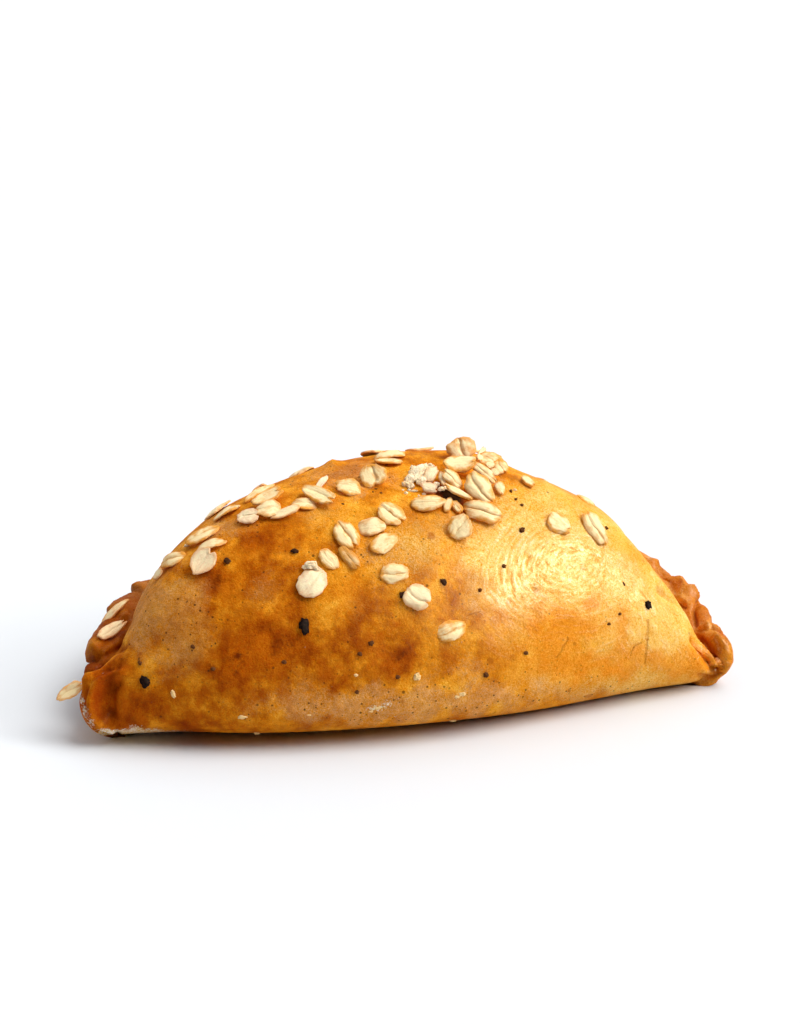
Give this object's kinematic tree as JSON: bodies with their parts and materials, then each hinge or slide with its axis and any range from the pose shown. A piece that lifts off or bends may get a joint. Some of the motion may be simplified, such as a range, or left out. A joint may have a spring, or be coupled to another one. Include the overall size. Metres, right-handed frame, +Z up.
{
  "type": "empanada",
  "caption": "Half-moon pastry turnover with a high dome, a rounded front fold and a rope-crimped rim that runs round the back from tip to tip, resting on a flat base.",
  "frame": {"origin": "middle of the bounding box, on the flat base", "axes": "+X along the fold towards the right-hand tip, +Y from the rounded front fold to the crimped rim at the back, +Z up"},
  "size_m": [0.1558, 0.087, 0.056],
  "materials": {
    "crust": "egg-washed baked dough, golden brown with tan and rust blotches, satin, glossier on the right shoulder and the rim",
    "oats": "dry rolled oat flakes, pale straw with a darker crease, matt",
    "pepper": "cracked pepper specks, near black, matt",
    "flour": "floury crumbs, off-white, matt"
  },
  "bodies": {
    "root": {"pastry": "crust"}
  },
  "joints": []
}
